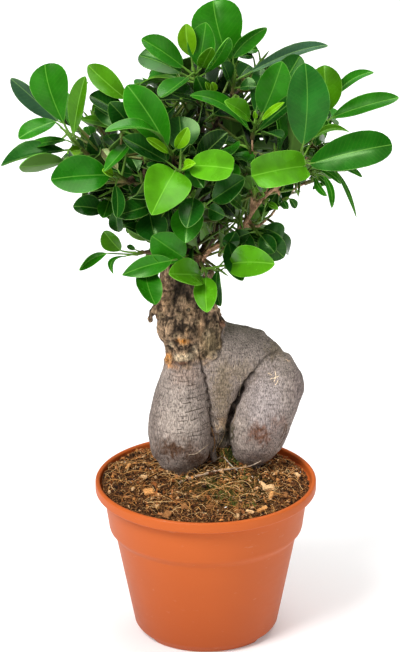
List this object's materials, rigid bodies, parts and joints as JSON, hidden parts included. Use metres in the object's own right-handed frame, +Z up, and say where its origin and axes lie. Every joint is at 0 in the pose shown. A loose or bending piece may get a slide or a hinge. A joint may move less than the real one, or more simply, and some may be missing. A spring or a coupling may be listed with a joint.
{
  "type": "ficus ginseng bonsai",
  "caption": "Small ficus ginseng bonsai with a swollen grafted rootstock and a leafy crown, standing in a round tapered plastic nursery pot.",
  "frame": {"origin": "middle of the pot's underside, on the surface that it stands on", "axes": "+Z up along the pot's axis; the front of the plant, where the right root folds down beside the trunk, faces -Y"},
  "size_m": [0.2089, 0.1727, 0.351],
  "materials": {
    "terracotta_plastic": "semi-matt moulded plastic, slightly scuffed",
    "potting_soil": "loose damp fibre and peat mix",
    "root_bark": "grey-brown bark, finely wrinkled",
    "twig_bark": "thin brown bark",
    "leaf": "leathery glossy green blade"
  },
  "bodies": {
    "root": {"pot": "terracotta_plastic", "potting_soil": "potting_soil", "ginseng_rootstock": "root_bark", "branch_right": "twig_bark", "branch_left": "twig_bark", "branch_centre": "twig_bark", "branch_high": "twig_bark", "branch_back": "twig_bark", "branch_back_right": "twig_bark", "spray_left_fan": "leaf", "spray_left_front": "leaf", "spray_left_low": "leaf", "spray_left_inner": "leaf", "spray_left_hanging": "leaf", "spray_left_centre": "leaf", "spray_low_left": "leaf", "spray_low_centre": "leaf", "spray_low_right_dark": "leaf", "spray_centre_low": "leaf", "spray_centre_dark": "leaf", "spray_centre_front": "leaf", "spray_centre_upper": "leaf", "spray_top_left": "leaf", "spray_top_bud": "leaf", "spray_top": "leaf", "spray_upper_right": "leaf", "spray_right_front": "leaf", "spray_right_back": "leaf", "spray_right_droop": "leaf", "spray_right_under": "leaf", "spray_right_twig": "leaf", "spray_fork_bud": "leaf", "spray_low_right": "leaf", "spray_upper_left": "leaf", "spray_back_left_end": "leaf", "spray_back_left_out": "leaf", "spray_back_left_low": "leaf", "spray_back_top": "leaf", "spray_back_upper": "leaf", "spray_back_middle": "leaf", "spray_back_low": "leaf", "spray_back_right_end": "leaf", "spray_back_right_out": "leaf", "spray_back_right_mid": "leaf", "spray_back_right_low": "leaf", "spray_top_rear_left": "leaf", "spray_top_rear_right": "leaf", "spray_rear_inner": "leaf", "spray_left_rear_end": "leaf", "spray_inner_left": "leaf", "spray_inner_right": "leaf", "spray_inner_high": "leaf", "spray_inner_low_left": "leaf", "spray_side_right": "leaf", "spray_inner_front": "leaf", "spray_inner_front_left": "leaf", "spray_inner_front_right": "leaf", "spray_inner_top": "leaf"}
  },
  "joints": []
}
